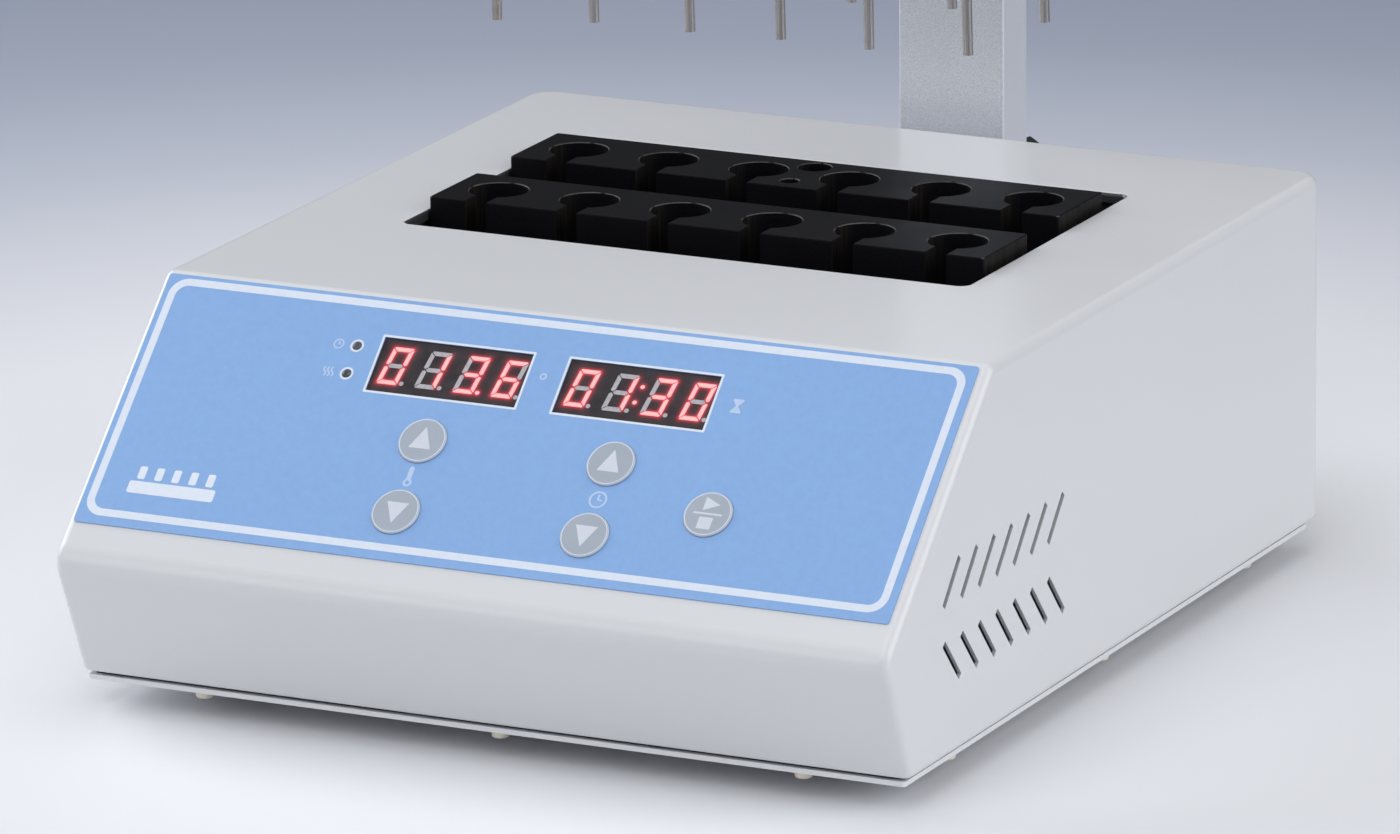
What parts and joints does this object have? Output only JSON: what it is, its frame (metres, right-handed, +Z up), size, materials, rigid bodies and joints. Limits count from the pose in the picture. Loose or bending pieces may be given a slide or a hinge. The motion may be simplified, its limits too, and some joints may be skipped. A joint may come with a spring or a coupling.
{
  "type": "nitrogen evaporator",
  "caption": "Dry-bath nitrogen evaporator: sloped keypad casing, lift-out heating bars with tube holes, and a needle gas head that slides on a rear column.",
  "frame": {"origin": "centre of the footprint's bounding box, on the surface the feet stand on", "axes": "+Z up; the keypad panel faces -Y; +X is to the user's right when facing the panel"},
  "size_m": [0.274, 0.3886, 0.454],
  "materials": {
    "case_paint": "satin off-white coating",
    "base_paint": "satin off-white coating",
    "panel_film": "printed blue film, matt",
    "key_grey": "grey soft key with pale ring",
    "display_black": "gloss black face with red digits",
    "lamp_lens": "dark lens",
    "black_anodised": "black anodised, satin",
    "liner_white": "satin white coating",
    "column_aluminium": "sand-blasted, clear anodised",
    "machined_aluminium": "machined, clear anodised",
    "needle_steel": "drawn tube",
    "plated_steel": "nickel plated",
    "screw_cream": "passivated zinc",
    "brass": "machined",
    "black_plastic": "moulded black",
    "grey_plastic": "moulded grey",
    "red_plastic": "moulded red",
    "black_rubber": "matt",
    "white_silicone": "matt",
    "board_green": "circuit board",
    "insulation": "ceramic fibre board",
    "transformer_blue": "potted block",
    "ceramic_fuse": "glazed"
  },
  "bodies": {
    "root": {"casing_cover": "case_paint", "rear_panel": "base_paint", "base_plate": "base_paint", "base_joint_strip": "black_rubber", "base_screws": "screw_cream", "rubber_feet": "black_rubber", "foot_and_support_screws": "plated_steel", "foot_nuts": "plated_steel", "well_liner": "liner_white", "insulation_jacket": "insulation", "insulation_pad": "insulation", "heater_plate": "machined_aluminium", "bar_dowels": "plated_steel", "heater_cartridges": "plated_steel", "temperature_sensor": "plated_steel", "thermal_cutout": "black_plastic", "heater_supports": "plated_steel", "keypad_overlay": "panel_film", "display_temperature": "display_black", "display_time": "display_black", "indicator_lamps": "lamp_lens", "tact_switches": "black_plastic", "display_board": "board_green", "board_spacers": "plated_steel", "board_screws": "plated_steel", "power_board": "board_green", "transformer": "transformer_blue", "earth_stud": "brass", "rear_panel_screws": "screw_cream", "mains_inlet": "black_plastic", "inlet_pins": "brass", "column_bracket": "machined_aluminium", "bracket_screws": "plated_steel", "backing_plate": "plated_steel"},
    "front_bar": {"front_bar": "black_anodised"},
    "rear_bar": {"rear_bar": "black_anodised"},
    "key_temp_up": {"button_temp_up": "key_grey"},
    "key_temp_down": {"button_temp_down": "key_grey"},
    "key_time_up": {"button_time_up": "key_grey"},
    "key_time_down": {"button_time_down": "key_grey"},
    "key_start_stop": {"button_start_stop": "key_grey"},
    "fuse_drawer": {"fuse_drawer": "black_plastic", "fuse": "ceramic_fuse"},
    "mains_rocker": {"switch_rocker": "red_plastic"},
    "column": {"column": "column_aluminium", "column_cap": "black_plastic"},
    "column_clamp_knob": {"column_clamp_knob": "black_plastic"},
    "carriage": {"carriage": "machined_aluminium", "carriage_glides": "grey_plastic", "head_arm": "machined_aluminium", "arm_screws": "plated_steel", "gas_chamber": "machined_aluminium", "chamber_gasket": "white_silicone", "chamber_lid": "machined_aluminium", "lid_screws": "plated_steel", "needle_fittings": "brass", "needles": "needle_steel", "gas_valve_body": "brass"},
    "carriage_lock_knob": {"carriage_lock_knob": "black_plastic"},
    "gas_valve_knob": {"gas_valve_knob": "black_plastic"}
  },
  "joints": [
    {"name": "front_bar_lift", "type": "slide", "parent": "root", "child": "front_bar", "axis": [0, 0, 1], "range_m": [0, 0.09]},
    {"name": "rear_bar_lift", "type": "slide", "parent": "root", "child": "rear_bar", "axis": [0, 0, 1], "range_m": [0, 0.09]},
    {"name": "key_temp_up_press", "type": "slide", "parent": "root", "child": "key_temp_up", "axis": [0, 0.6892, -0.7245], "range_m": [0, 0.0004], "stiffness_N_per_m": 800, "springref_m": -0.001},
    {"name": "key_temp_down_press", "type": "slide", "parent": "root", "child": "key_temp_down", "axis": [0, 0.6892, -0.7245], "range_m": [0, 0.0004], "stiffness_N_per_m": 800, "springref_m": -0.001},
    {"name": "key_time_up_press", "type": "slide", "parent": "root", "child": "key_time_up", "axis": [0, 0.6892, -0.7245], "range_m": [0, 0.0004], "stiffness_N_per_m": 800, "springref_m": -0.001},
    {"name": "key_time_down_press", "type": "slide", "parent": "root", "child": "key_time_down", "axis": [0, 0.6892, -0.7245], "range_m": [0, 0.0004], "stiffness_N_per_m": 800, "springref_m": -0.001},
    {"name": "key_start_stop_press", "type": "slide", "parent": "root", "child": "key_start_stop", "axis": [0, 0.6892, -0.7245], "range_m": [0, 0.0004], "stiffness_N_per_m": 800, "springref_m": -0.001},
    {"name": "fuse_drawer_slide", "type": "slide", "parent": "root", "child": "fuse_drawer", "axis": [0, 1, 0], "range_m": [0, 0.012]},
    {"name": "mains_rocker_tip", "type": "hinge", "parent": "root", "child": "mains_rocker", "pos_m": [0.078, 0.13156, 0.0795], "axis": [1, 0, 0], "range_deg": [-18, 0]},
    {"name": "column_slide", "type": "slide", "parent": "root", "child": "column", "axis": [0, 0, 1], "range_m": [0, 0.045]},
    {"name": "column_clamp_turn", "type": "hinge", "parent": "root", "child": "column_clamp_knob", "pos_m": [0, 0.18526, 0.0896], "axis": [0, 1, 0], "range_deg": [0, 720]},
    {"name": "carriage_slide", "type": "slide", "parent": "column", "child": "carriage", "axis": [0, 0, 1], "range_m": [-0.11, 0.06]},
    {"name": "carriage_lock_turn", "type": "hinge", "parent": "carriage", "child": "carriage_lock_knob", "pos_m": [0, 0.18526, 0.349], "axis": [0, 1, 0], "range_deg": [0, 720]},
    {"name": "gas_valve_turn", "type": "hinge", "parent": "carriage", "child": "gas_valve_knob", "pos_m": [0.07, 0.08226, 0.366], "axis": [0, 0, 1], "range_deg": [0, 720]}
  ]
}
